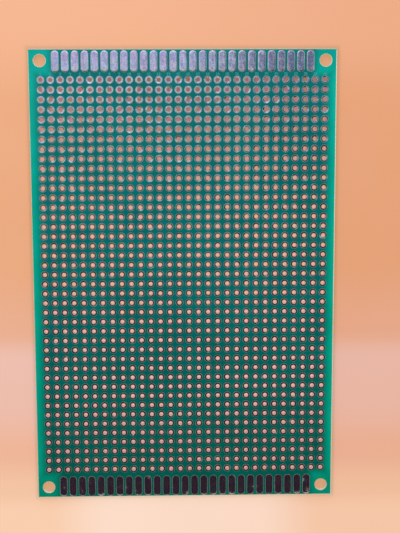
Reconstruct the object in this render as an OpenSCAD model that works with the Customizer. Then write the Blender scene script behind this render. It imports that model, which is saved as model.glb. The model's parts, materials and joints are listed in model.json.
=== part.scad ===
// Prototype board: a bare double-sided circuit board with a grid of
// plated holes, on which small circuits are soldered by hand.
//
// Frame, in millimetres: the board lies flat on its back. The origin is
// the middle of its underside, +Z comes up out of the component side,
// and +Y runs along the long edge.
//
// Build up, from the table: tinned copper of the back, resting on the
// table and standing a little out of the back solder mask; the glass
// and resin laminate; the front solder mask and the tinned copper in
// its openings. One plated barrel joins the two pads of every hole.

/* [Board] */
// Width of the board, along X
board_w = 80; // [80:0.5:100]
// Length of the board, along Y
board_l = 120; // [120:0.5:140]
// Thickness over the metal of both faces
board_t = 1.6; // [1.2:0.1:2.4]
// Depth of the scored groove left along each edge of a face
score_depth = 0.45; // [0.2:0.05:0.5]
// Width of the sloping side of that groove
score_w = 0.16; // [0.1:0.02:0.3]

/* [Hole grid] */
// Number of holes across the width
cols = 30; // [10:1:30]
// Number of holes along the length
rows = 42; // [10:1:42]
// Distance from hole to hole, both ways
pitch = 2.54; // [2.5:0.01:2.54]
// Finished diameter of a plated hole
hole_d = 1.0; // [0.8:0.05:1.1]
// Diameter of the round pad about a hole
pad_d = 1.9; // [1.6:0.05:2]
// Wall of the plated barrel
barrel_wall = 0.05; // [0.03:0.01:0.08]

/* [Edge contacts] */
// Number of contacts in each row along the short edges
contact_count = 27; // [5:1:27]
// Width of a contact
contact_w = 1.9; // [1.4:0.05:2]
// Length of a contact, over its round ends
contact_l = 5.5; // [4:0.1:5.6]
// Bare strip between a contact and the edge of the board
contact_inset = 0.45; // [0.4:0.05:0.5]

/* [Mounting holes] */
// Diameter of the four unplated corner holes
mount_d = 3.2; // [2.5:0.1:3.4]
// Distance of a corner hole's centre from both edges
mount_inset = 3; // [2.8:0.1:3.2]

/* [Layers] */
// Thickness of the tinned copper on a face
metal_t = 0.09; // [0.06:0.01:0.12]
// Thickness of the solder mask on a face
mask_t = 0.04; // [0.02:0.01:0.05]
// Bare ring between metal and solder mask
mask_gap = 0.03; // [0.02:0.01:0.1]
// Bare ring between a corner hole and the solder mask
mount_mask_gap = 0.16; // [0.16:0.02:0.3]

/* [Hidden] */
$fn = 32;
core_t = board_t - 2 * metal_t;
core_z = metal_t;
drill_d = hole_d + 2 * barrel_wall;
edge_strip = score_w + 0.03;
mount_x = board_w / 2 - mount_inset;
mount_y = board_l / 2 - mount_inset;
contact_y = board_l / 2 - contact_inset - contact_l / 2;
cut = 1;

function row_name(row) = str("plated_holes_row_", row < 10 ? "0" : "", row);
function hole_x(col) = (col - (cols + 1) / 2) * pitch;
function hole_y(row) = ((rows + 1) / 2 - row) * pitch;
function contact_x(number) = (number - (contact_count + 1) / 2) * pitch;

// Places its children at every hole of the grid.
module at_holes() {
    for (col = [1:cols], row = [1:rows])
        translate([hole_x(col), hole_y(row)]) children();
}

// Places its children at the four corner holes.
module at_mounts() {
    for (x = [-mount_x, mount_x], y = [-mount_y, mount_y])
        translate([x, y]) children();
}

// Places its children at the contacts of one short edge:
// side is 1 for the top edge and -1 for the bottom one.
module at_contacts(side) {
    for (number = [1:contact_count])
        translate([contact_x(number), side * contact_y]) children();
}

// Outline of a contact, a slot with round ends, grown by a margin.
module contact_outline(margin = 0) {
    width = contact_w + 2 * margin;
    straight = contact_l - contact_w;
    square([width, straight], center = true);
    for (end = [-1, 1])
        translate([0, end * straight / 2]) circle(d = width);
}

// Section through the laminate, across a board of the given width:
// a scored bevel on both faces and the snapped web between them.
module scored_section(width) {
    half = width / 2;
    polygon([
        [-half + score_w, 0], [half - score_w, 0],
        [half, score_depth], [half, core_t - score_depth],
        [half - score_w, core_t], [-half + score_w, core_t],
        [-half, core_t - score_depth], [-half, score_depth]
    ]);
}

// The undrilled laminate, bevelled along all four edges.
module laminate_blank() {
    intersection() {
        rotate([90, 0, 0])
            linear_extrude(board_l, center = true) scored_section(board_w);
        rotate([90, 0, 90])
            linear_extrude(board_w, center = true) scored_section(board_l);
    }
}

// Glass and resin board, drilled for the plated and the corner holes.
module laminate_core() {
    color("#cfc79a")
    translate([0, 0, core_z])
    difference() {
        laminate_blank();
        translate([0, 0, -cut]) {
            at_holes() cylinder(d = drill_d, h = core_t + 2 * cut);
            at_mounts() cylinder(d = mount_d, h = core_t + 2 * cut);
        }
    }
}

// Sheet of solder mask with openings for all the metal and the corner holes.
module solder_mask() {
    color("#05806e")
    linear_extrude(mask_t)
    difference() {
        square([board_w - 2 * edge_strip, board_l - 2 * edge_strip], center = true);
        at_holes() circle(d = pad_d + 2 * mask_gap);
        at_mounts() circle(d = mount_d + 2 * mount_mask_gap);
        for (side = [-1, 1])
            at_contacts(side) contact_outline(mask_gap);
    }
}

module front_solder_mask() translate([0, 0, core_z + core_t]) solder_mask();

module back_solder_mask() translate([0, 0, core_z - mask_t]) solder_mask();

// Tinned contacts of one face and one short edge.
module contact_row(side) {
    color("#a7a2c4")
    at_contacts(side) linear_extrude(metal_t) contact_outline();
}

module front_top_contacts() translate([0, 0, core_z + core_t]) contact_row(1);

module front_bottom_contacts() translate([0, 0, core_z + core_t]) contact_row(-1);

module back_top_contacts() contact_row(1);

module back_bottom_contacts() contact_row(-1);

// One plated hole: a barrel through the laminate with a pad on both faces,
// turned from half of its section.
module plated_hole() {
    rotate_extrude()
    polygon([
        [hole_d / 2, 0], [pad_d / 2, 0],
        [pad_d / 2, metal_t], [drill_d / 2, metal_t],
        [drill_d / 2, board_t - metal_t], [pad_d / 2, board_t - metal_t],
        [pad_d / 2, board_t], [hole_d / 2, board_t]
    ]);
}

// All plated holes of one row, counted from the top edge.
module plated_holes_row(row) {
    color("#b9b6c6")
    for (col = [1:cols])
        translate([hole_x(col), hole_y(row)]) plated_hole();
}

laminate_core();
front_solder_mask();
back_solder_mask();
front_top_contacts();
front_bottom_contacts();
back_top_contacts();
back_bottom_contacts();
for (row = [1:rows])
    plated_holes_row(row);
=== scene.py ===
# %% [markdown]
# # Dressing a prototype board
#
# A prototype board is a bare circuit board: a sheet of glass cloth and resin with a grid of
# plated holes, a green lacquer on both faces, and a row of tinned contacts along each short
# edge. It has no moving parts, so this lesson is about surfaces. Nearly everything that the
# eye reads on such a board is light playing on very thin layers.
#
# The construction comes in as a fixed frame, at its real size, and each piece made here
# stands in for one of its solids. Sizes are asked of the frame wherever it knows them. What
# is typed in are the things too small for a box to tell, such as how the molten tin rounded
# off as it froze.

# %% Load the frame
import json
import math
import random

import bpy
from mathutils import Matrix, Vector, noise
from mathutils.geometry import delaunay_2d_cdt


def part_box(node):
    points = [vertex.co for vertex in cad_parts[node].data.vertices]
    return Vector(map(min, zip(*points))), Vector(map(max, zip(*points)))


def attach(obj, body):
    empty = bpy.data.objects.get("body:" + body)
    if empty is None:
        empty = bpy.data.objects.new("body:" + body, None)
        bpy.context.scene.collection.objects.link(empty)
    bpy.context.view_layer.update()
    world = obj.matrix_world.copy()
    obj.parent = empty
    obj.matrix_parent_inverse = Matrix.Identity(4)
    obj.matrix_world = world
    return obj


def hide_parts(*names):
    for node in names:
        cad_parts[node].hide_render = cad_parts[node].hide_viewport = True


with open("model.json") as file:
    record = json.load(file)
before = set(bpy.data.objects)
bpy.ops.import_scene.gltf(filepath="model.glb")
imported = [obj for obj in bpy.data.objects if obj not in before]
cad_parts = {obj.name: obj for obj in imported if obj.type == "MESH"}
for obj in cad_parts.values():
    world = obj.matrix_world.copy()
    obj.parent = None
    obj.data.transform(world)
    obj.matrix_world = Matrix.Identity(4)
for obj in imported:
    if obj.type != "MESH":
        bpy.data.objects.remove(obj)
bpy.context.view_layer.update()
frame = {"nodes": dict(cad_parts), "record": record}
MM = 0.001
print("nodes in the frame:", len(frame["nodes"]))

# %% [markdown]
# ## Reading the board's own measurements
#
# The record of the part says how the holes are set out, because that is what somebody
# needs in order to use the board. The boxes of the solids say the rest: how thick the
# laminate is, where the lacquer starts and stops, how long a contact is. Everything below
# is worked out from these two.

# %% Measure the holes
mounts = {m["name"]: m for m in frame["record"]["mounts"]}
grid = mounts["component_holes"]["dims"]
PITCH = grid["spacing_x_mm"] * MM
BORE_R = grid["hole_r_mm"] * MM
row_nodes = sorted(n for n in frame["nodes"] if n.startswith("plated_holes_row_"))
ROWS = len(row_nodes)
COLS = grid["count"] // ROWS

row_y = {}
for row_node in row_nodes:
    low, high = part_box(row_node)
    row_y[row_node] = (low.y + high.y) / 2
PAD_R = (high.y - low.y) / 2
BOARD_T = high.z
hole_xs = [(col - (COLS - 1) / 2) * PITCH for col in range(COLS)]

corner = mounts["mounting_holes"]["dims"]
CORNER_R = corner["hole_r_mm"] * MM
CORNERS = [(sx * corner["spacing_x_mm"] / 2 * MM, sy * corner["spacing_y_mm"] / 2 * MM)
           for sx in (-1, 1) for sy in (-1, 1)]
print(f"{COLS} x {ROWS} holes, pads {2 * PAD_R / MM:.2f} mm across")

# %% [markdown]
# The sheets are read from their boxes. The contacts are all alike and stand in a row, so the
# width of one is the width of the row less the steps between the contacts.

# %% Measure the sheets and the contacts
core_low, core_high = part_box("laminate_core")
mask_low, mask_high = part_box("front_solder_mask")
back_low, back_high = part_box("back_solder_mask")
HALF_W, HALF_L = core_high.x, core_high.y

CONTACTS = mounts["top_edge_contacts"]["dims"]["count"]
contact_low, contact_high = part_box("front_top_contacts")
CONTACT_L = contact_high.y - contact_low.y
CONTACT_W = contact_high.x - contact_low.x - (CONTACTS - 1) * PITCH
CONTACT_Y = (contact_high.y + contact_low.y) / 2
contact_xs = [(i - (CONTACTS - 1) / 2) * PITCH for i in range(CONTACTS)]
print(f"board {2 * HALF_W / MM:.1f} x {2 * HALF_L / MM:.1f} x {BOARD_T / MM:.2f} mm")
print(f"contacts {CONTACT_W / MM:.2f} x {CONTACT_L / MM:.2f} mm")

# %% [markdown]
# ## The camera
#
# The board lies flat, and the camera looks down on it from a hand's height, a few degrees
# off the upright. A lens this long keeps the long edges almost parallel, and the slight
# lean makes the far end a touch wider than the near one. The three axes of the camera are
# written out instead of angles, so that they can be checked with a ruler on paper.

# %% Set the camera
# Where the camera is, in millimetres from the middle of the board's upper face.
CAMERA_PLACE = Vector((-2.46, 40.82, 276.61))

camera_data = bpy.data.cameras.new("camera")
camera_data.lens = 71.18
camera_data.sensor_width = 36
camera_data.clip_start = 0.01
camera = bpy.data.objects.new("camera", camera_data)
bpy.context.scene.collection.objects.link(camera)
bpy.context.scene.camera = camera

look = Vector((0.02385, -0.13442, -0.99064)).normalized()
right = Vector((0.99970, -0.00302, 0.02448))
right = (right - right.dot(look) * look).normalized()
up = right.cross(look)
place = CAMERA_PLACE * MM + Vector((0, 0, BOARD_T))
for i in range(3):
    camera.matrix_world[i][0] = right[i]
    camera.matrix_world[i][1] = up[i]
    camera.matrix_world[i][2] = -look[i]
    camera.matrix_world[i][3] = place[i]
print("camera leans", round(math.degrees(math.acos(-look.z)), 1), "degrees from straight down")

# %% [markdown]
# ## Small helpers for node trees
#
# Every finish here is procedural: it is worked out from where a point lies on the board, in
# millimetres, so a grain of 0.1 mm stays 0.1 mm whatever else changes. These helpers
# only save typing. Each adds a node, joins its inputs, and gives back its output.

# %% Node helpers
class Tree:
    """A short way of writing a node tree."""

    def __init__(self, tree):
        self.tree = tree
        self.tree.nodes.clear()

    def add(self, kind, inputs=None, output=0, **settings):
        node = self.tree.nodes.new(kind)
        for key, value in settings.items():
            setattr(node, key, value)
        for key, value in (inputs or {}).items():
            self.put(node, key, value)
        return node.outputs[output]

    def put(self, node, key, value):
        if isinstance(value, bpy.types.NodeSocket):
            self.tree.links.new(value, node.inputs[key])
        else:
            node.inputs[key].default_value = value

    def math(self, operation, a, b=0.0):
        return self.add("ShaderNodeMath", {0: a, 1: b}, operation=operation)

    def ramp(self, value, low, high, out_low=0.0, out_high=1.0):
        """A smooth step from out_low to out_high as value goes from low to high."""
        return self.add("ShaderNodeMapRange",
                        {0: value, 1: low, 2: high, 3: out_low, 4: out_high},
                        interpolation_type="SMOOTHSTEP")

    def mix(self, share, a, b, blend="MIX"):
        """Colour a where share is 0, colour b where it is 1."""
        node = self.tree.nodes.new("ShaderNodeMix")
        node.data_type = "RGBA"
        node.blend_type = blend
        self.put(node, 0, share)
        # the node keeps sockets for every kind of value; 6 and 7 are the two colours
        for key, value in ((6, a), (7, b)):
            self.put(node, key, value if not isinstance(value, tuple) else (*value, 1))
        return node.outputs[2]

    def tint(self, share, colour, by):
        """The colour, multiplied by another one as far as share says."""
        return self.mix(share, colour, by, "MULTIPLY")

    def grey(self, value):
        return self.add("ShaderNodeCombineColor", {0: value, 1: value, 2: value})

    def noise(self, where, scale, detail=2.0, rough=0.5):
        return self.add("ShaderNodeTexNoise",
                        {"Vector": where, "Scale": scale, "Detail": detail, "Roughness": rough})

    def bump(self, height, strength, distance, normal=None):
        inputs = {"Height": height, "Strength": strength, "Distance": distance}
        if normal is not None:
            inputs["Normal"] = normal
        return self.add("ShaderNodeBump", inputs)


def new_material(name):
    material = bpy.data.materials.new(name)
    material.use_nodes = True
    tree = Tree(material.node_tree)
    output = tree.tree.nodes.new("ShaderNodeOutputMaterial")
    shader = tree.tree.nodes.new("ShaderNodeBsdfPrincipled")
    tree.tree.links.new(shader.outputs[0], output.inputs[0])
    return material, tree, shader


def millimetres(tree):
    """Where the point lies on the board, in millimetres, and its three parts."""
    place = tree.add("ShaderNodeTexCoord", output="Object")
    place = tree.add("ShaderNodeVectorMath", {0: place, "Scale": 1 / MM}, operation="SCALE")
    parts = tree.tree.nodes.new("ShaderNodeSeparateXYZ")
    tree.tree.links.new(place, parts.inputs[0])
    return place, parts.outputs


# %% [markdown]
# ## Distances on the board
#
# Two finishes need to know how far a point is from something. One measure is the distance
# outside a rectangle, such as the block of all the pads. The other is the distance from the
# middle of the nearest hole. The grid is endless and regular, so that is found by folding
# the whole plane onto one square of it, with no list of holes.
#
# The third helper is the height of plain woven cloth, which both the laminate and the
# lacquer above it show faintly.

# %% Distance and weave helpers
def distance_outside(tree, x, y, half_w, half_l):
    """Distance outside a rectangle, in millimetres, along its worse side."""
    dx = tree.math("SUBTRACT", tree.math("ABSOLUTE", x), half_w)
    dy = tree.math("SUBTRACT", tree.math("ABSOLUTE", y), half_l)
    return tree.math("MAXIMUM", dx, dy)


def grid_radius(tree, x, y):
    """Distance from the middle of the nearest hole of the endless grid, in millimetres."""
    pitch = PITCH / MM
    du = tree.math("SUBTRACT", tree.math("FRACT", tree.math("DIVIDE", x, pitch)), 0.5)
    dv = tree.math("SUBTRACT", tree.math("FRACT", tree.math("DIVIDE", y, pitch)), 0.5)
    square = tree.math("ADD", tree.math("MULTIPLY", du, du), tree.math("MULTIPLY", dv, dv))
    return tree.math("MULTIPLY", tree.math("SQRT", square), pitch)


def weave(tree, x, y, warp=0.42, weft=0.5):
    """Height of a plain woven cloth: threads of two directions that pass over and under."""
    sx = tree.math("SINE", tree.math("MULTIPLY", x, math.pi / warp))
    sy = tree.math("SINE", tree.math("MULTIPLY", y, math.pi / weft))
    return tree.math("MULTIPLY", sx, sy)


# %% [markdown]
# ## The green lacquer
#
# Solder mask is a thin, glossy, clear green lacquer. Its colour depends on what lies under
# it. Over bare laminate, light sinks in, scatters about in the glass cloth and comes back
# out, so the green glows. Near copper, the light is caught, and the green goes dark. That
# is why the margins of such a board are brighter than the spaces between the pads.
#
# One could scatter light for real, but that is slow and does not survive being exported.
# Instead that light is painted into the colour. The distance to the nearest metal is worked
# out from the board's own layout, in two sizes: how far the point is from the blocks of
# metal as a whole, and how far it is from the nearest pad. The glow of the margins is
# painted light, and the dark green near and between the pads is painted shade. The glass
# cloth shows through as a faint weave.
#
# The green also gets darker and yellower towards the near end, the two side margins differ a
# little, and the margins at both short ends are toned down. That is the fall of light over
# the board, painted on as painted shade and painted light. It belongs to no real board, and
# it stays on the lacquer under other light.

# %% Solder mask material
NEAR_PAD_SHADE = (0.03, 0.180, 0.160)
BETWEEN_PADS_SHADE = (0.0, 0.130, 0.114)
MARGIN_LEFT_GLOW = (0.0, 0.342, 0.240)
MARGIN_RIGHT_GLOW = (0.0, 0.374, 0.256)


def green_of_mask(tree, x, y):
    """Green of the lacquer, with painted glow and shade, from how near the metal lies and where on
    the board it is.
    """
    block = distance_outside(tree, x, y, (hole_xs[-1] + PAD_R) / MM,
                             (ROWS - 1) / 2 * PITCH / MM + PAD_R / MM)
    ends = distance_outside(tree, x, y, (contact_xs[-1] + CONTACT_W / 2) / MM,
                            (CONTACT_Y + CONTACT_L / 2) / MM)
    # painted glow: the green is brightest away from all the metal
    glow = tree.ramp(tree.math("MINIMUM", block, ends), -1.3, 2.0)
    clear = tree.math("MAXIMUM", tree.ramp(grid_radius(tree, x, y), PAD_R / MM, 1.2),
                      tree.ramp(block, 0.0, 0.25))
    # painted shade: dark green near the pads, darker still between them
    dark = tree.mix(clear, NEAR_PAD_SHADE, BETWEEN_PADS_SHADE)
    # painted shade: darker and yellower towards the near end
    dark = tree.tint(tree.ramp(y, 5, -58), dark, (0.9, 0.84, 0.70))
    # painted light: the right margin a little brighter than the left
    bright = tree.mix(tree.ramp(x, -30, 30), MARGIN_LEFT_GLOW, MARGIN_RIGHT_GLOW)
    # painted shade: the margins a little yellower towards the near end
    bright = tree.tint(tree.ramp(y, 50, -20), bright, (1.0, 0.99, 0.91))
    # painted shade: the margins at both short ends are toned down, the near one most
    end_margin_shade = tree.mix(tree.ramp(y, -40, 40), (1.0, 0.72, 0.70), (1.0, 0.84, 0.90))
    bright = tree.tint(tree.ramp(tree.math("ABSOLUTE", y), 51.5, 56.0), bright, end_margin_shade)
    return tree.mix(glow, dark, bright)


def solder_mask_material():
    material, tree, shader = new_material("green_solder_mask")
    place, (x, y, _) = millimetres(tree)
    cloud = tree.noise(place, 0.09, 3)
    fine = tree.noise(place, 1.3, 3)
    cloth = weave(tree, x, y)
    tone = tree.math("ADD", tree.ramp(cloud, 0.3, 0.7, 0.90, 1.08),
                     tree.math("MULTIPLY", cloth, 0.035))
    tone = tree.math("ADD", tone, tree.math("MULTIPLY", tree.math("SUBTRACT", fine, 0.5), 0.10))
    tree.put(shader, "Base Color", tree.tint(1.0, green_of_mask(tree, x, y), tree.grey(tone)))
    tree.put(shader, "Roughness", tree.ramp(fine, 0.3, 0.75, 0.14, 0.24))
    tree.put(shader, "IOR", 1.25)
    height = tree.math("ADD", tree.math("MULTIPLY", cloth, 0.5), tree.noise(place, 2.2, 2))
    tree.put(shader, "Normal", tree.bump(height, 0.35, 0.004 * MM))
    return material


mask_material = solder_mask_material()
print("made", mask_material.name)

# %% [markdown]
# ## Tin
#
# The metal is tin, put on by dipping the board in the melt and blowing the excess off with
# hot air. It freezes bright, but never flat: each face is a shallow dome with slow ripples,
# and here and there a patch froze a little frosty. A metal has hardly any colour of its own,
# so what counts is how rough it is and which way it leans, and both come from noise at the
# size of the ripples. Faint streaks run along the board, and the grey drifts slowly between
# a pinkish and a greenish one.

# %% Tin material
def tin_material():
    material, tree, shader = new_material("levelled_tin")
    place, _ = millimetres(tree)
    patches = tree.noise(place, 0.55, 3)
    grain = tree.noise(place, 5.0, 3, 0.6)
    ripple = tree.noise(place, 1.1, 2)
    drawn = tree.add("ShaderNodeVectorMath", {0: place, 1: (2.4, 0.55, 1.0)},
                     operation="MULTIPLY")
    streaks = tree.noise(drawn, 1.0, 3, 0.6)
    mottle = tree.math("MULTIPLY", tree.ramp(streaks, 0.3, 0.7, 0.82, 1.10),
                       tree.ramp(grain, 0.3, 0.7, 0.90, 1.08))
    colour = tree.mix(tree.ramp(patches, 0.35, 0.65), (0.73, 0.71, 0.74), (0.82, 0.81, 0.84))
    colour = tree.tint(1.0, colour, tree.grey(mottle))
    drift = tree.mix(tree.ramp(tree.noise(place, 0.42, 2), 0.35, 0.65), (1.05, 0.95, 0.99),
                     (0.95, 1.03, 1.03))
    tree.put(shader, "Base Color", tree.tint(1.0, colour, drift))
    shader.inputs["Metallic"].default_value = 1.0
    frost = tree.math("ADD", tree.ramp(patches, 0.58, 0.75, 0.09, 0.26),
                      tree.ramp(grain, 0.45, 0.8, 0.0, 0.10))
    tree.put(shader, "Roughness", frost)
    ripples = tree.bump(ripple, 0.8, 0.02 * MM)
    tree.put(shader, "Normal", tree.bump(grain, 0.5, 0.002 * MM, ripples))
    return material


tin = tin_material()
print("made", tin.name)

# %% [markdown]
# ## Glass cloth and resin
#
# The laminate shows only where the lacquer stops: in the corner holes, as a hair of a ring
# around each piece of metal, and along the edges, where the board was scored and snapped
# off its neighbours. It is cream coloured and slightly see-through, with the cloth's threads
# standing out where they broke. The layers of cloth show as thin lines in the edge. The far
# edge is a little darker and browner: that is painted shade.

# %% Laminate material
LAYER = 0.19
FAR_EDGE = HALF_L / MM


def laminate_material():
    material, tree, shader = new_material("glass_cloth_laminate")
    place, (x, y, z) = millimetres(tree)
    cloth = weave(tree, x, y)
    speck = tree.noise(place, 7.0, 3, 0.65)
    layers = tree.math("SINE", tree.math("MULTIPLY", z, 2 * math.pi / LAYER))
    cream = tree.mix(tree.ramp(cloth, -0.8, 0.8), (0.68, 0.63, 0.44), (0.80, 0.75, 0.57))
    cream = tree.mix(tree.ramp(speck, 0.5, 0.72), cream, (0.88, 0.85, 0.74))
    cream = tree.mix(tree.ramp(layers, 0.2, 1.0, 0.0, 0.3), cream, (0.56, 0.49, 0.30))
    # painted shade: the far edge is darker and browner
    cream = tree.tint(tree.ramp(y, FAR_EDGE - 1.0, FAR_EDGE - 0.2), cream, (0.72, 0.66, 0.62))
    tree.put(shader, "Base Color", cream)
    tree.put(shader, "Roughness", tree.ramp(speck, 0.3, 0.7, 0.5, 0.75))
    height = tree.math("ADD", tree.math("MULTIPLY", layers, 0.3), speck)
    tree.put(shader, "Normal", tree.bump(height, 0.6, 0.02 * MM))
    return material


laminate = laminate_material()
print("made", laminate.name)

# %% [markdown]
# ## Printing ink
#
# The marks above the hole columns are screen printed with a thin pale ink, through which
# the green shows. Such a print is never quite even, so its colour wavers.

# %% Ink material
def ink_material():
    material, tree, shader = new_material("pale_ink")
    place, _ = millimetres(tree)
    wear = tree.noise(place, 6.0, 3)
    tree.put(shader, "Base Color", tree.mix(tree.ramp(wear, 0.35, 0.7),
                                            (0.08, 0.42, 0.37), (0.03, 0.30, 0.26)))
    shader.inputs["Roughness"].default_value = 0.55
    return material


ink = ink_material()
print("made", ink.name)

# %% [markdown]
# ## Drawing outlines
#
# The laminate and both coats of lacquer are flat sheets with well over a thousand holes.
# Cutting the holes one by one would take minutes and leave a tangle. It is far better to
# draw the outlines, as loops of points, and have the space between them filled once.
# Three outlines are enough for the whole board: a circle, a slot and a rectangle.

# %% Outline helpers
def circle(cx, cy, radius, steps):
    return [Vector((cx + radius * math.cos(2 * math.pi * i / steps),
                    cy + radius * math.sin(2 * math.pi * i / steps), 0)) for i in range(steps)]


def slot(cx, cy, width, length, steps):
    """Outline of a slot with round ends; steps points on each end."""
    r, straight = width / 2, (length - width) / 2
    points = []
    for end, start in ((1, 0), (-1, math.pi)):
        for i in range(steps):
            a = start + math.pi * i / (steps - 1)
            points.append(Vector((cx + r * math.cos(a), cy + end * straight + r * math.sin(a), 0)))
    return points


def rectangle(half_w, half_l, step):
    """Outline of a rectangle with a point at least every step."""
    corners = [(-half_w, -half_l), (half_w, -half_l), (half_w, half_l), (-half_w, half_l)]
    points = []
    for (ax, ay), (bx, by) in zip(corners, corners[1:] + corners[:1]):
        count = max(1, round(math.hypot(bx - ax, by - ay) / step))
        for i in range(count):
            points.append(Vector((ax + (bx - ax) * i / count, ay + (by - ay) * i / count, 0)))
    return points


def mesh_object(name, vertices, faces, material, smooth=False):
    mesh = bpy.data.meshes.new(name)
    mesh.from_pydata(vertices, [], faces)
    mesh.update()
    mesh.materials.append(material)
    if smooth:
        mesh.shade_smooth()
    piece = bpy.data.objects.new(name, mesh)
    bpy.context.scene.collection.objects.link(piece)
    return piece


def triangles(piece):
    return sum(len(p.vertices) - 2 for p in piece.data.polygons)


# %% [markdown]
# ## Filling between the outlines
#
# A Delaunay filling joins points into triangles that are as plump as they can be. A plain
# filling is content with slivers, and where points lie in one line, as the holes of a row
# do, some of its triangles have no area at all. The filling also covers the holes, so those
# triangles are dropped afterwards.
#
# The same drawing then serves for the top, the underside and all the walls. Only the outer
# wall may be given as a list of outlines of its own, for the laminate's broken edge.

# %% Sheets with holes
def fill_between(loops):
    """Triangles between the outline, loops[0], and the holes, as numbers of the loops' points."""
    owner = [number for number, loop in enumerate(loops) for _ in loop]
    sides = []
    for loop in loops:
        start = len(sides)
        sides += [(start + i, start + (i + 1) % len(loop)) for i in range(len(loop))]
    points = [Vector((p.x / MM, p.y / MM)) for loop in loops for p in loop]
    _, _, faces, origin, _, _ = delaunay_2d_cdt(points, sides, [], 1, 1e-6)
    fill = [[origin[v][0] for v in face] for face in faces]
    # the holes are convex, so a triangle with all its points on one hole lies inside that hole
    return [f for f in fill if owner[f[0]] == 0 or len({owner[v] for v in f}) > 1]


def perforated_sheet(name, loops, z_low, z_high, material, rim=None):
    """A closed sheet: loops[0] is its outline and the others are holes.
    rim, if given, is a list of outlines that replace the straight outer wall, from the top down."""
    flat = [p for loop in loops for p in loop]
    count = len(flat)
    vertices = [(p.x, p.y, z_high) for p in flat] + [(p.x, p.y, z_low) for p in flat]
    faces = []
    for a, b, c in fill_between(loops):
        faces += [(a, b, c), (a + count, c + count, b + count)]
    start = 0
    for number, loop in enumerate(loops):
        n = len(loop)
        turn = -1 if number else 1
        rings = [start]
        if number == 0 and rim:
            for outline in rim:
                rings.append(len(vertices))
                vertices += [tuple(p) for p in outline]
        rings.append(start + count)
        for top, low in zip(rings, rings[1:]):
            for i in range(n):
                j = (i + 1) % n
                quad = (top + i, low + i, low + j, top + j)
                faces.append(quad[::turn])
        start += n
    return mesh_object(name, vertices, faces, material)


# %% [markdown]
# ## The two coats of lacquer
#
# Each coat stops short of the metal by less than a tenth of a millimetre, so that a hair
# of laminate shows around every pad. Along the right and the near edge the coats are drawn
# a tenth of a millimetre short, so that a line of bare laminate shows there, as it does on a
# board whose print is a little off true. The coat on the front is drawn finer than the one
# underneath, which is seldom looked at.

# %% Solder masks
GAP = 0.035 * MM
CORNER_GAP = 0.07 * MM
PRINT_SHIFT = 0.12 * MM
CORNER_STEPS = 48
SIDE_STEP = 20 * MM


def mask_loops(pad_steps):
    outline = rectangle(mask_high.x, mask_high.y, SIDE_STEP)
    for p in outline:
        p.x -= PRINT_SHIFT if p.x > mask_high.x - 0.01 * MM else 0
        p.y += PRINT_SHIFT if p.y < -mask_high.y + 0.01 * MM else 0
    loops = [outline]
    loops += [circle(x, y, PAD_R + GAP, pad_steps) for y in row_y.values() for x in hole_xs]
    loops += [circle(x, y, CORNER_R + CORNER_GAP, CORNER_STEPS) for x, y in CORNERS]
    loops += [slot(x, side * CONTACT_Y, CONTACT_W + 2 * GAP, CONTACT_L + 2 * GAP, 12)
              for side in (-1, 1) for x in contact_xs]
    return loops


front_mask = perforated_sheet("front_mask_coat", mask_loops(20), mask_low.z, mask_high.z,
                              mask_material)
back_mask = perforated_sheet("back_mask_coat", mask_loops(12), back_low.z, back_high.z,
                             mask_material)
for piece, node in ((front_mask, "front_solder_mask"), (back_mask, "back_solder_mask")):
    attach(piece, "root")
    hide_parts(node)
    print(piece.name, triangles(piece), "triangles")

# %% [markdown]
# ## The laminate
#
# The board came off a larger panel. A wheel scored a groove into both faces, and the web
# that was left between them was snapped. So each edge has a sloping band at the top, a
# rough broken band in the middle, and a sloping band below. The broken band is made rough
# in the mesh itself, by pulling its points inwards at random. The groove is too small to be
# read from a box, so its two sizes are typed in.

# %% Laminate sheet
EDGE_STEP = 0.5 * MM
SCORE_W = 0.16 * MM
SCORE_DEPTH = 0.45 * MM
BARREL_WALL = 0.05 * MM
DRILL_R = BORE_R + BARREL_WALL


def scored_rim():
    """Outlines down the edge: the score's foot, three rows of broken web, the lower foot."""
    draw = random.Random(4)
    top, low = core_high.z, core_low.z
    web = (top - low - 2 * SCORE_DEPTH) / 4
    outlines = []
    for step in range(5):
        deepest = 0.07 if step in (1, 2, 3) else 0.012
        least = 0.01 if step in (1, 2, 3) else 0
        z = top - SCORE_DEPTH - web * step
        outline = []
        for p in rectangle(HALF_W, HALF_L, EDGE_STEP):
            pull = draw.uniform(least, deepest) * MM
            outline.append(Vector((p.x * (1 - pull / HALF_W), p.y * (1 - pull / HALF_L), z)))
        outlines.append(outline)
    return outlines


def core_loops():
    loops = [[Vector((p.x * (1 - SCORE_W / HALF_W), p.y * (1 - SCORE_W / HALF_L), 0))
              for p in rectangle(HALF_W, HALF_L, EDGE_STEP)]]
    loops += [circle(x, y, DRILL_R, 8) for y in row_y.values() for x in hole_xs]
    loops += [circle(x, y, CORNER_R, CORNER_STEPS) for x, y in CORNERS]
    return loops


core = perforated_sheet("laminate_sheet", core_loops(), core_low.z, core_high.z, laminate,
                        scored_rim())
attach(core, "root")
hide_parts("laminate_core")
print(core.name, triangles(core), "triangles")

# %% [markdown]
# ## The shape of a pad
#
# Each hole is lined with a barrel of copper that spreads out into a round pad on both
# faces, and the whole is coated with tin. Surface tension pulls the tin into a ring: it
# drops off sharply at the edge of the pad, runs nearly flat across it, and dips into the
# mouth of the hole. The hot air pushes it a little to one side, differently on every hole,
# and that is why no two of them catch the light alike.
#
# So a pad is given as a section from the mouth to the foot, and spun. While it is spun it
# leans to one side, and it is domed by a few thousandths of a millimetre. That is far too
# little to see as a shape, but plenty to move a reflection.

# %% Section of a pad
PAD_STEPS = 20
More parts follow.
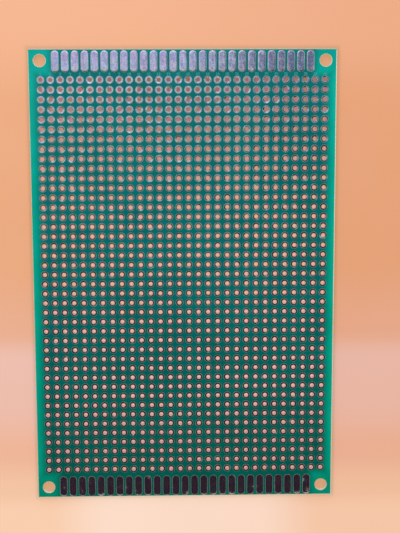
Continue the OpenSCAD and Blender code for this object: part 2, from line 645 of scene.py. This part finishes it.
# How far across the pad, from 0 at the bore to 1 at its edge, and how far below the crown,
# in millimetres.
FRONT_SECTION = [(0.0, 0.13), (0.05, 0.026), (0.16, 0.0), (0.55, 0.0), (0.97, 0.0),
                 (0.988, 0.010), (1.0, 0.036), (1.0, 0.09)]
BACK_SECTION = [(0.0, 0.12), (0.16, 0.0), (1.0, 0.09)]
# The part of the section, across, over which the lean fades out towards the edge.
LEAN_FADE = 0.2
DOME_MIDDLE, DOME_HALF = 0.55, 0.42


def section_rings(section, face_z, out, draw):
    """Rings of a pad, from the hole to its foot; out is 1 on the front and -1 on the back."""
    lean = draw.uniform(0.0, 0.028)
    towards = draw.uniform(0, 2 * math.pi)
    dome = draw.uniform(0.004, 0.010)
    fat = draw.uniform(-0.05, 0.05)
    rings = []
    for across, below in section:
        t = across + fat * math.sin(math.pi * across)
        r = BORE_R + (PAD_R - BORE_R) * t
        free = min(1, max(0, (1 - across) / LEAN_FADE))
        domed = dome * ((across - DOME_MIDDLE) / DOME_HALF) ** 2 if 0 < across < 1 else 0
        ring = []
        for i in range(PAD_STEPS):
            a = 2 * math.pi * i / PAD_STEPS
            sag = lean * (1 - math.cos(a - towards)) / 2 * free
            z = face_z - out * (below + sag + domed) * MM
            ring.append((r * math.cos(a), r * math.sin(a), z))
        rings.append(ring)
    return rings


# %% [markdown]
# ## Rows of plated holes
#
# The rings of a hole run from the mouth of the front over its pad, under the pad to the
# laminate, down the outside of the barrel, around the pad of the back and up the bore to
# where they began. Joined in that order they close into one solid skin. A row of holes is
# one mesh.
#
# Smooth shading would blur the two rings where the tin bends sharply, by the mouth and by
# the edge, and spread their bright line over the whole pad. Those rings are marked as
# creases.

# %% Plated hole rows
CREASES = (2, 4)


def crease(piece, ring_of, creased_rings):
    """Keep the shading crisp along some rings of a smooth piece."""
    edges = piece.data.edges
    ends = [0] * (2 * len(edges))
    edges.foreach_get("vertices", ends)
    ring = [ring_of(v) for v in ends]
    crisp = [a == b and a in creased_rings for a, b in zip(ring[::2], ring[1::2])]
    edges.foreach_set("use_edge_sharp", crisp)


def plated_row(name, y, draw):
    vertices, faces = [], []
    for x in hole_xs:
        rings = section_rings(FRONT_SECTION, BOARD_T, 1, draw)
        rings.append([(p[0] * DRILL_R / PAD_R, p[1] * DRILL_R / PAD_R, core_high.z)
                      for p in rings[-1]])
        back = section_rings(BACK_SECTION, 0.0, -1, draw)
        rings.append([(p[0] * DRILL_R / PAD_R, p[1] * DRILL_R / PAD_R, core_low.z)
                      for p in back[-1]])
        rings += back[::-1]
        start = len(vertices)
        vertices += [(x + px, y + py, pz) for ring in rings for px, py, pz in ring]
        for k in range(len(rings)):
            a0 = start + k * PAD_STEPS
            b0 = start + (k + 1) % len(rings) * PAD_STEPS
            for i in range(PAD_STEPS):
                j = (i + 1) % PAD_STEPS
                faces.append((a0 + i, b0 + i, b0 + j, a0 + j))
    row = mesh_object(name, vertices, faces, tin, smooth=True)
    crease(row, lambda v: v // PAD_STEPS % len(rings), CREASES)
    return row


draw = random.Random(21)
total = 0
for row_node in row_nodes:
    piece = plated_row(row_node.replace("plated_holes", "tinned_holes"), row_y[row_node], draw)
    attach(piece, "root")
    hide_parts(row_node)
    total += triangles(piece)
print("plated holes:", total, "triangles in", len(row_nodes), "rows")

# %% [markdown]
# ## Edge contacts
#
# The contacts are the same tin, frozen on long slots of copper. The side drops off sharply
# and the middle is nearly flat, with slow waves. A contact is drawn as a nest of slots, each
# a little inside the last and a little higher, and then the waves are added from a smooth
# noise. Each contact tilts by its own few thousandths of a millimetre, and each end droops
# by its own small amount. The near ends of the near row may droop most, which gives them
# the brighter tips.

# %% Outline of a contact
# How far in from the edge, and how far below the crown, in millimetres.
CONTACT_SECTION = [(0.0, 0.09), (0.0, 0.036), (0.006, 0.014), (0.014, 0.007), (0.08, 0.001),
                   (0.35, 0.0), (0.62, 0.0), (0.90, 0.0)]
CONTACT_CREASES = (3,)
# Rings of the section lower than this belong to the side and have no waves.
SIDE_BELOW = 0.03
END_STEPS = 11
SIDE_STEPS = 6
DROOP_LENGTH = 0.75
WAVE_ACROSS, WAVE_ALONG = 1.4, 0.5


def contact_outline(cx, cy, inset):
    """Outline of a contact with points along its straight sides too."""
    points = slot(cx, cy, CONTACT_W - 2 * inset, CONTACT_L - 2 * inset, END_STEPS)
    ring = []
    for i, p in enumerate(points):
        q = points[(i + 1) % len(points)]
        ring.append(p)
        if i % END_STEPS == END_STEPS - 1:
            ring += [p.lerp(q, k / SIDE_STEPS) for k in range(1, SIDE_STEPS)]
    return ring


def contact_swell(p, x, y, inset, seed, tilt, droop):
    """How far a point of the contact at x, y lies below its crown, in millimetres."""
    wave = noise.noise(Vector((p.x / MM * WAVE_ACROSS, p.y / MM * WAVE_ALONG, 0)) + seed)
    swell = 0.006 + 0.007 * wave * min(1, inset * 6)
    swell = max(0, swell + tilt * (p.x - x) / (CONTACT_W / 2))
    along = p.y - y
    to_end = max(0, abs(along) / MM - CONTACT_L / 2 / MM + DROOP_LENGTH) / DROOP_LENGTH
    return swell + droop[1 if along > 0 else -1] * to_end ** 2


# %% [markdown]
# The rows are built like the rows of holes, one mesh for each, but the nest of slots is
# closed with two flat faces, a foot and a crown.

# %% Rows of contacts
def contact_row(name, side, face_z, out, draw):
    vertices, faces = [], []
    y = side * CONTACT_Y
    for x in contact_xs:
        seed = Vector((draw.uniform(0, 90), draw.uniform(0, 90), 0))
        tilt = draw.uniform(-0.003, 0.003)
        droop = {1: draw.uniform(0.0, 0.006), -1: draw.uniform(0.0, 0.010 if side > 0 else 0.030)}
        start = len(vertices)
        for inset, below in CONTACT_SECTION:
            outline = contact_outline(x, y, inset * MM)
            size = len(outline)
            for p in outline:
                swell = 0
                if below < SIDE_BELOW:
                    swell = contact_swell(p, x, y, inset, seed, tilt, droop)
                vertices.append((p.x, p.y, face_z - out * (below + swell) * MM))
        for k in range(len(CONTACT_SECTION) - 1):
            a0, b0 = start + k * size, start + (k + 1) * size
            for i in range(size):
                j = (i + 1) % size
                quad = (a0 + i, a0 + j, b0 + j, b0 + i)
                faces.append(quad if out > 0 else quad[::-1])
        foot = [start + i for i in range(size)]
        crown = [start + (len(CONTACT_SECTION) - 1) * size + i for i in range(size)]
        faces += [foot[::-1], crown] if out > 0 else [foot, crown[::-1]]
    row = mesh_object(name, vertices, faces, tin, smooth=True)
    crease(row, lambda v: v // size % len(CONTACT_SECTION), CONTACT_CREASES)
    return row


draw = random.Random(8)
for face, face_z, out in (("front", BOARD_T, 1), ("back", 0.0, -1)):
    for end, side in (("top", 1), ("bottom", -1)):
        piece = contact_row(f"{face}_{end}_fingers", side, face_z, out, draw)
        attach(piece, "root")
        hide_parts(f"{face}_{end}_contacts")
        print(piece.name, triangles(piece), "triangles")

# %% [markdown]
# ## Printed column numbers
#
# Between the contacts and the first row of holes each column has a tiny printed mark. Plain
# numbers do here. They are drawn the way a board maker draws them, with a few straight
# strokes on a small grid of points, and each stroke is a flat bar of ink.

# %% Strokes of the digits
# Each digit on a grid two wide and four high: x and y of a stroke's start and of its end.
STROKES = {
    "0": [(0, 0, 2, 0), (2, 0, 2, 4), (2, 4, 0, 4), (0, 4, 0, 0)],
    "1": [(0, 3, 1, 4), (1, 4, 1, 0), (0, 0, 2, 0)],
    "2": [(0, 4, 2, 4), (2, 4, 2, 2), (2, 2, 0, 2), (0, 2, 0, 0), (0, 0, 2, 0)],
    "3": [(0, 4, 2, 4), (2, 4, 2, 0), (2, 0, 0, 0), (0, 2, 2, 2)],
    "4": [(0, 4, 0, 2), (0, 2, 2, 2), (2, 4, 2, 0)],
    "5": [(2, 4, 0, 4), (0, 4, 0, 2), (0, 2, 2, 2), (2, 2, 2, 0), (2, 0, 0, 0)],
    "6": [(2, 4, 0, 4), (0, 4, 0, 0), (0, 0, 2, 0), (2, 0, 2, 2), (2, 2, 0, 2)],
    "7": [(0, 4, 2, 4), (2, 4, 1, 0)],
    "8": [(0, 0, 2, 0), (2, 0, 2, 4), (2, 4, 0, 4), (0, 4, 0, 0), (0, 2, 2, 2)],
    "9": [(2, 2, 0, 2), (0, 2, 0, 4), (0, 4, 2, 4), (2, 4, 2, 0), (2, 0, 0, 0)],
}
DIGIT_H = 0.62 * MM
STROKE_W = 0.10 * MM
INK_T = 0.012 * MM


def stroke_bar(a, b, z, vertices, faces):
    """A flat bar of ink from a to b, as a closed box."""
    along = (b - a).normalized()
    side = Vector((-along.y, along.x, 0)) * STROKE_W / 2
    along = along * STROKE_W / 2
    start = len(vertices)
    outline = [a - along - side, b + along - side, b + along + side, a - along + side]
    for height in (z - INK_T / 2, z + INK_T):
        vertices += [(p.x, p.y, height) for p in outline]
    faces.append(tuple(start + i for i in (3, 2, 1, 0)))
    faces.append(tuple(start + 4 + i for i in (0, 1, 2, 3)))
    for i in range(4):
        j = (i + 1) % 4
        faces.append((start + i, start + j, start + 4 + j, start + 4 + i))


# %% [markdown]
# Each number is centred above its column, midway between the pads and the contacts. A digit
# is two units wide and the next one starts three units on.

# %% Lay out the numbers
def column_numbers():
    unit = DIGIT_H / 4
    pad_top = row_y[row_nodes[0]] + PAD_R
    base = (pad_top + contact_low.y - DIGIT_H) / 2
    vertices, faces = [], []
    for col, x in enumerate(hole_xs, 1):
        text = str(col)
        width = (3 * len(text) - 1) * unit
        for place, digit in enumerate(text):
            left = x - width / 2 + place * 3 * unit
            for x0, y0, x1, y1 in STROKES[digit]:
                a = Vector((left + x0 * unit, base + y0 * unit, 0))
                b = Vector((left + x1 * unit, base + y1 * unit, 0))
                stroke_bar(a, b, mask_high.z, vertices, faces)
    return mesh_object("column_numbers", vertices, faces, ink)


numbers = column_numbers()
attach(numbers, "root")
print(numbers.name, triangles(numbers), "triangles")

# %% [markdown]
# ## Colours of the floor
#
# The board lies on a warm sheet. The sheet isn't one even colour: it has a paler, pinker
# band across it beside the near third of the board, a bright patch in front, and a thin line
# of shade where the board's edge meets it. The colours are given as stops along the length
# that blend from one to the next. The board itself doesn't need them: with one colour in
# the list, no patch and no side tints, the sheet is plain.
#
# Through the holes one sees the strip of floor that lies under the board. Little light of
# the scene gets in there, so its light and shade are painted into its colour too: painted
# light, bright and warm, in the middle, and painted shade, dark, towards the far end.

# %% Floor colours
# Colour of the sheet at places along y, in millimetres, from the far end to the near one.
FLOOR_STOPS = [(64, (0.830, 0.420, 0.237)), (44, (0.793, 0.381, 0.199)),
               (5, (0.793, 0.381, 0.199)), (-14, (0.800, 0.412, 0.258)),
               (-22, (0.835, 0.505, 0.405)), (-34, (0.835, 0.500, 0.395)),
               (-48, (0.855, 0.460, 0.306)), (-58, (0.900, 0.550, 0.362)),
               (-65, (0.950, 0.620, 0.425))]
FLOOR_TOP = FLOOR_STOPS[0][1]
FRONT_PATCH = (0.99, 0.740, 0.588)
LEFT_TINT, RIGHT_TINT = (1.02, 1.045, 1.055), (0.98, 0.955, 0.945)
EDGE_SHADE = (0.76, 0.86, 0.86)
PAPER_SPECK = (0.8, 0.5, 0.4)
BOARD_HALF = (HALF_W / MM, HALF_L / MM)


def open_floor(tree, place, x, y):
    """Colour of the floor around the board."""
    colour = FLOOR_TOP
    for (y0, _), (y1, stop) in zip(FLOOR_STOPS, FLOOR_STOPS[1:]):
        colour = tree.mix(tree.ramp(y, y0, y1), colour, stop)
    patch = tree.math("MULTIPLY", tree.ramp(tree.math("ABSOLUTE", x), 38, 20),
                      tree.ramp(y, -56, -62))
    colour = tree.mix(patch, colour, FRONT_PATCH)
    colour = tree.tint(1.0, colour, tree.mix(tree.ramp(x, -50, 50), LEFT_TINT, RIGHT_TINT))
    beside = distance_outside(tree, x, y, BOARD_HALF[0] - 0.1, BOARD_HALF[1] - 0.1)
    colour = tree.tint(tree.ramp(beside, 1.5, 0.0), colour, EDGE_SHADE)
    away = tree.add("ShaderNodeVectorMath", {0: place}, "Value", operation="LENGTH")
    colour = tree.mix(tree.ramp(away, 200, 900), colour, FLOOR_TOP)
    speck = tree.noise(place, 0.05, 3)
    return tree.mix(tree.ramp(speck, 0.3, 0.7, 0.0, 0.05), colour, PAPER_SPECK)


def floor_in_the_holes(tree, x, y):
    """Painted light and shade of the strip of floor under the board, as the holes show it."""
    # painted light: bright and warm under the middle of the board, a little darker under the near
    # end
    below = tree.mix(tree.ramp(y, 10, -30), (1.08, 0.58, 0.40), (1.06, 0.62, 0.53))
    below = tree.mix(tree.ramp(y, -26, -46), below, (0.93, 0.50, 0.42))
    # painted shade: the strip darkens towards the far end, least at the sides
    far = tree.math("ADD", y, tree.math("MULTIPLY", tree.math("ABSOLUTE", x), -0.2))
    below = tree.mix(tree.ramp(far, 5, 64), below, (0.29, 0.12, 0.10))
    # painted shade: under the corner holes the floor is a little darker and yellower
    in_corners = tree.ramp(distance_outside(tree, x, y, 38, 53.5), -0.2, 0.2)
    return tree.mix(in_corners, below, (0.77, 0.40, 0.21))


# %% [markdown]
# ## Floor
#
# Part of the floor's brightness is given to it directly, for what the camera sees, what
# metal mirrors and what glass lets through, so that it stays pale without flooding the
# board with light. The rest is lit in the ordinary way and keeps the board's soft shadow.
#
# The floor is a single sheet. From below it is perfectly clear, and the strip under the
# board shines on the underside, so that the back can be looked at too. Next to none of that
# light gets out from under the board.

# %% Floor sheet
LIT_SHARE = 0.30
FLOOR_HALF = 2.0
FLOOR_Z = -0.05 * MM


def floor_material():
    material, tree, shader = new_material("warm_paper")
    tree.tree.nodes.remove(shader)
    place, (x, y, _) = millimetres(tree)
    colour = open_floor(tree, place, x, y)
    under = tree.ramp(distance_outside(tree, x, y, BOARD_HALF[0] - 1, BOARD_HALF[1] - 1), 0.4, -0.4)
    colour_seen = tree.mix(under, colour, floor_in_the_holes(tree, x, y))
    lit = tree.add("ShaderNodeBsdfDiffuse", {"Color": colour})
    seen = tree.add("ShaderNodeEmission", {"Color": colour_seen, "Strength": 1.0})
    path = tree.tree.nodes.new("ShaderNodeLightPath")
    rays = tree.math("MAXIMUM", path.outputs["Is Camera Ray"], path.outputs["Is Glossy Ray"])
    rays = tree.math("MAXIMUM", rays, path.outputs["Is Transmission Ray"])
    rays = tree.math("MAXIMUM", rays,
                     tree.math("MULTIPLY", path.outputs["Is Diffuse Ray"], under))
    share = tree.math("MULTIPLY", rays, 1 - LIT_SHARE)
    both = tree.add("ShaderNodeMixShader", {0: share, 1: lit, 2: seen})
    from_below = tree.add("ShaderNodeNewGeometry", output="Backfacing")
    clear = tree.add("ShaderNodeBsdfTransparent")
    both = tree.add("ShaderNodeMixShader", {0: from_below, 1: both, 2: clear})
    output = next(n for n in tree.tree.nodes if n.type == "OUTPUT_MATERIAL")
    tree.tree.links.new(both, output.inputs[0])
    return material


corners = [(sx * FLOOR_HALF, sy * FLOOR_HALF, FLOOR_Z)
           for sx, sy in ((-1, -1), (1, -1), (1, 1), (-1, 1))]
floor = mesh_object("floor", corners, [(0, 1, 2, 3)], floor_material())
print("floor", 2 * FLOOR_HALF, "m across")

# %% [markdown]
# ## What the tin mirrors
#
# The walls are nearly even, warm below and paler above. Tin is a mirror, though, so a
# perfectly even room would make it look like grey paint. Overhead
# there is a soft cool window, with a violet band along its near side, and beyond that a
# ceiling that gets darker towards the near end. The far contacts mirror the window and the
# band, the pads mirror the ceiling and pale things beside it, and every rounded edge
# catches the bright walls.
#
# Directions near the zenith are measured as slopes: how far aside for each unit up. A level
# mirror on the board shows the slope that lies opposite the eye, so slopes can be read off
# as places on the board. This is no real room: its patches were set for how the tin looks
# from the main view.

# %% Window and ceiling
WINDOW = (0.79, 0.90, 0.87)
UNDER_WINDOW = (0.195, 0.188, 0.178)
VIOLET_LEFT, VIOLET_RIGHT = (0.385, 0.345, 0.800), (0.150, 0.180, 0.440)
OVER_VIOLET = (0.95, 1.02, 1.13)
PALE_STRIP = (0.370, 0.345, 0.320)
BESIDE = (0.60, 0.58, 0.58)
DARK_CEILING = (0.030, 0.015, 0.028)


def overhead(tree, slope_x, slope_y):
    """Light from about the zenith, from the slopes of a direction."""
    window = tree.mix(tree.ramp(slope_y, -0.015, 0.042), UNDER_WINDOW, WINDOW)
    violet = tree.mix(tree.ramp(slope_x, -0.015, 0.075), VIOLET_LEFT, VIOLET_RIGHT)
    window = tree.mix(tree.ramp(slope_y, 0.040, 0.056), window, violet)
    window = tree.mix(tree.ramp(slope_y, 0.078, 0.12), window, OVER_VIOLET)
    window = tree.tint(tree.ramp(slope_x, 0.02, 0.15), window, (0.35, 0.39, 0.50))
    # below the window: a paler strip right of the middle, and a darker one beyond it
    lower = tree.ramp(slope_y, 0.03, -0.03)
    strip = tree.math("MULTIPLY", tree.ramp(slope_x, 0.025, 0.05), tree.ramp(slope_x, 0.10, 0.08))
    window = tree.mix(tree.math("MULTIPLY", strip, lower), window, PALE_STRIP)
    beyond = tree.math("MULTIPLY", tree.ramp(slope_x, 0.08, 0.11), tree.ramp(slope_y, 0.05, 0.0))
    window = tree.tint(beyond, window, (0.25, 0.25, 0.30))
    # far to either side the room is bright again, sooner on the right towards the near end
    shifted = tree.math("ADD", slope_x, tree.ramp(slope_y, -0.10, -0.20, 0.0, 0.05))
    window = tree.mix(tree.ramp(tree.math("ABSOLUTE", shifted), 0.17, 0.28), window, BESIDE)
    return tree.mix(tree.ramp(slope_y, -0.22, -0.02), DARK_CEILING, window)


# %% [markdown]
# ## The room around it
#
# The overhead patch is an oval about the zenith, drawn out towards the near end, and the
# walls fill the rest of the sky: cool at the far end, warm at the near one. The camera
# itself sees none of this, only the floor's own colour, so that the sheet has no horizon.

# %% World
def walls(tree, dy, dz):
    """Light from the walls, from the far-near and the up part of a direction."""
    low_wall = tree.mix(tree.ramp(dy, -0.6, 0.6), (1.0, 0.66, 0.46), (0.95, 0.74, 0.62))
    high_wall = tree.mix(tree.ramp(dy, -0.5, 0.5), (0.92, 0.80, 0.68), (0.88, 0.84, 0.84))
    return tree.mix(tree.ramp(dz, 0.15, 0.65), low_wall, high_wall)


def room_light():
    world = bpy.data.worlds.new("room")
    bpy.context.scene.world = world
    world.use_nodes = True
    tree = Tree(world.node_tree)
    direction = tree.add("ShaderNodeTexCoord", output="Generated")
    parts = tree.tree.nodes.new("ShaderNodeSeparateXYZ")
    tree.tree.links.new(direction, parts.inputs[0])
    dx, dy, dz = parts.outputs
    up = tree.math("MAXIMUM", dz, 0.05)
    slope_x = tree.math("DIVIDE", dx, up)
    slope_y = tree.math("DIVIDE", dy, up)
    ex = tree.math("DIVIDE", slope_x, 0.50)
    ey = tree.math("DIVIDE", tree.math("ADD", slope_y, 0.16), 0.46)
    oval = tree.math("SQRT", tree.math("ADD", tree.math("MULTIPLY", ex, ex),
                                       tree.math("MULTIPLY", ey, ey)))
    sky = tree.mix(tree.ramp(oval, 0.70, 1.15, 1.0, 0.0), walls(tree, dy, dz),
                   overhead(tree, slope_x, slope_y))
    light = tree.add("ShaderNodeBackground", {"Color": sky, "Strength": 1.0})
    plain = tree.add("ShaderNodeBackground", {"Color": (*FLOOR_TOP, 1), "Strength": 1.0})
    camera_ray = tree.add("ShaderNodeLightPath", output="Is Camera Ray")
    both = tree.add("ShaderNodeMixShader", {0: camera_ray, 1: light, 2: plain})
    output = tree.tree.nodes.new("ShaderNodeOutputWorld")
    tree.tree.links.new(both, output.inputs[0])
    return world


print("lit by the", room_light().name)

# %% [markdown]
# ## One soft lamp
#
# A world gives shadows so soft that the board would seem to float. A large weak lamp from
# the window's side sets it down on the sheet. The tin doesn't mirror this lamp. The world
# already holds a window, and the lamp is so much brighter that from some sides it would
# turn half of the pads white.

# %% Lamp
LAMP_PLACE = Vector((-0.03, 0.16, 0.14))

lamp_data = bpy.data.lights.new("far_window", "AREA")
lamp_data.shape = "DISK"
lamp_data.size = 0.16
lamp_data.energy = 0.25
lamp_data.color = (0.85, 0.98, 1.4)
lamp = bpy.data.objects.new("far_window", lamp_data)
lamp.location = LAMP_PLACE
lamp.rotation_euler = (-LAMP_PLACE).to_track_quat("-Z", "Y").to_euler()
lamp.visible_glossy = False
bpy.context.scene.collection.objects.link(lamp)

bpy.context.scene.view_settings.view_transform = "Standard"
print("lamp", round(LAMP_PLACE.length, 2), "m from the middle of the board")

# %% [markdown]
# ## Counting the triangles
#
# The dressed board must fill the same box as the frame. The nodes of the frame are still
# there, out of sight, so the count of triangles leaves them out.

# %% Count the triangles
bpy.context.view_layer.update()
made = [o for o in bpy.data.objects if o.type == "MESH" and o.name not in frame["nodes"]]
print("all pieces:", sum(triangles(o) for o in made), "triangles")
